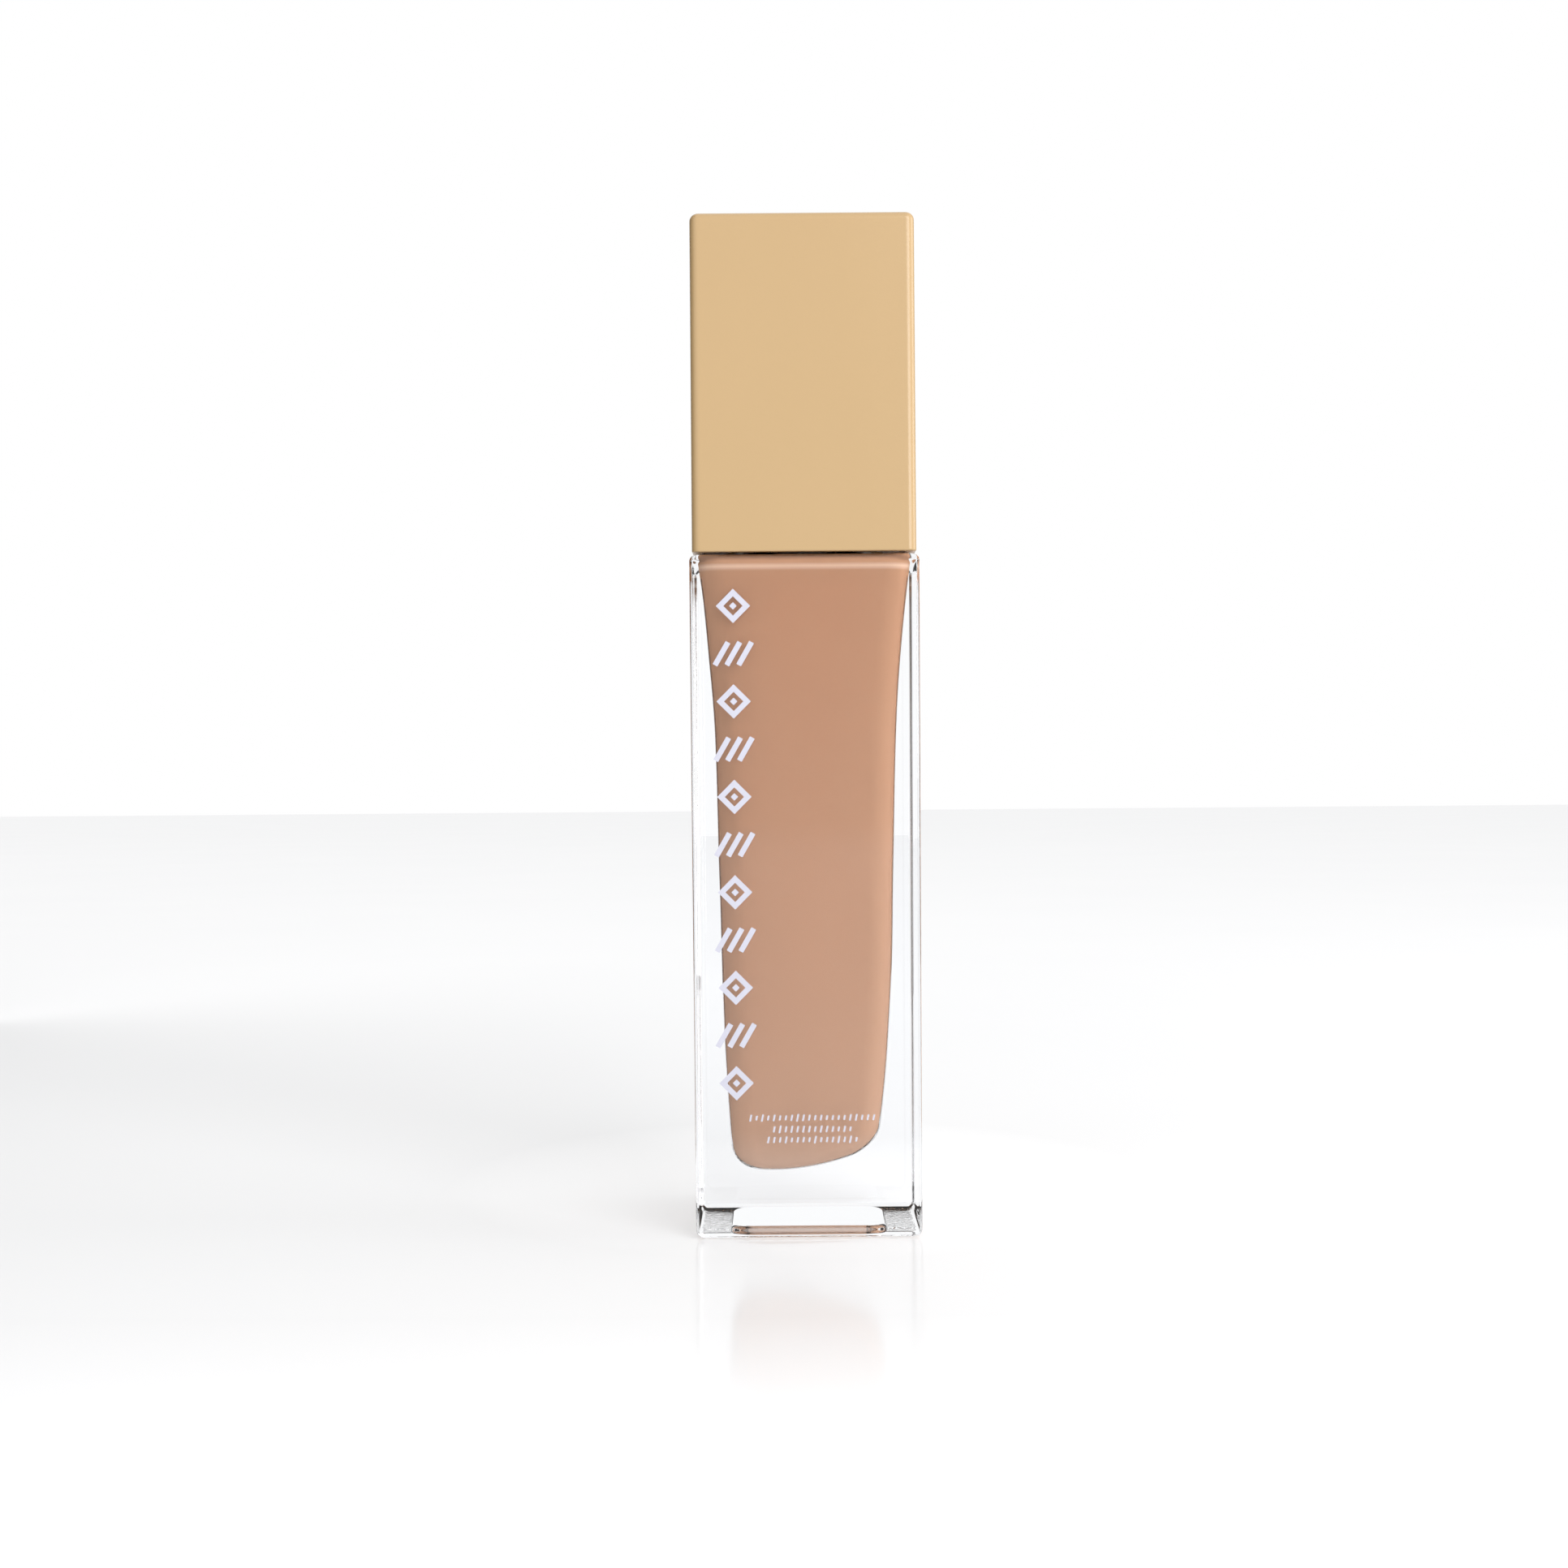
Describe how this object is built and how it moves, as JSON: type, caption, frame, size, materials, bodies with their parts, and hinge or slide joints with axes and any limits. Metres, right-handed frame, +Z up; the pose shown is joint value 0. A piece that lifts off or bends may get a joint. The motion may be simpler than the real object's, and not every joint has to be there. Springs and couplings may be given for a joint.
{
  "type": "foundation bottle",
  "caption": "Square thick-glass bottle of liquid foundation with a push-down treatment pump on its screw neck and a tall square overcap that pulls off.",
  "frame": {"origin": "centre of the base, on the surface that the bottle stands on", "axes": "+Z up through the neck and cap, -Y out of the printed front face, +X to the right of that face"},
  "size_m": [0.0284, 0.0284, 0.1263],
  "materials": {
    "clear_glass": "polished clear glass, very thick at the base",
    "foundation": "creamy opaque liquid, wet against the glass",
    "beige_satin": "moulded beige plastic with a fine satin surface",
    "natural_plastic": "uncoloured moulded polypropylene",
    "soft_seal": "dark elastomer",
    "gasket_foam": "pale closed-cell foam",
    "spring_steel": "drawn stainless wire",
    "ball_steel": "polished stainless ball"
  },
  "bodies": {
    "bottle": {"glass_bottle": "clear_glass", "foundation_fill": "foundation"},
    "pump_engine": {"pump_housing": "natural_plastic", "neck_gasket": "gasket_foam", "turret": "natural_plastic", "stem_seal": "soft_seal", "return_spring": "spring_steel", "ball_cage": "natural_plastic", "dip_tube": "natural_plastic"},
    "collar": {"screw_closure": "natural_plastic", "collar_sleeve": "beige_satin"},
    "plunger": {"stem": "natural_plastic", "piston_rod": "natural_plastic"},
    "sliding_piston": {"piston": "natural_plastic"},
    "inlet_ball": {"valve_ball": "ball_steel"},
    "head": {"actuator_shell": "beige_satin", "actuator_core": "natural_plastic", "nozzle_insert": "natural_plastic"},
    "overcap": {"overcap_shell": "beige_satin", "overcap_liner": "natural_plastic"}
  },
  "joints": [
    {"name": "pump_lift", "type": "slide", "parent": "bottle", "child": "pump_engine", "axis": [0, 0, 1], "range_m": [0, 0.00397]},
    {"name": "collar_unscrew", "type": "hinge", "parent": "pump_engine", "child": "collar", "pos_m": [0, 0, 0.093], "axis": [0, 0, 1], "range_deg": [0, 450]},
    {"name": "pump_stroke", "type": "slide", "parent": "pump_engine", "child": "plunger", "axis": [0, 0, -1], "range_m": [0, 0.004], "stiffness_N_per_m": 1500, "springref_m": -0.003, "deforming": ["return_spring"]},
    {"name": "piston_slip", "type": "slide", "parent": "plunger", "child": "sliding_piston", "axis": [0, 0, 1], "range_m": [0, 0.0006]},
    {"name": "ball_rise", "type": "slide", "parent": "pump_engine", "child": "inlet_ball", "axis": [0, 0, 1], "range_m": [0, 0.001]},
    {"name": "head_turn", "type": "hinge", "parent": "plunger", "child": "head", "pos_m": [0, 0, 0.112], "axis": [0, 0, 1], "continuous": true},
    {"name": "overcap_pull", "type": "slide", "parent": "bottle", "child": "overcap", "axis": [0, 0, 1], "range_m": [0, 0.045]}
  ],
  "couplings": [
    {"joint": "collar_unscrew", "follows": "pump_lift", "rad_per_m": 1979}
  ]
}
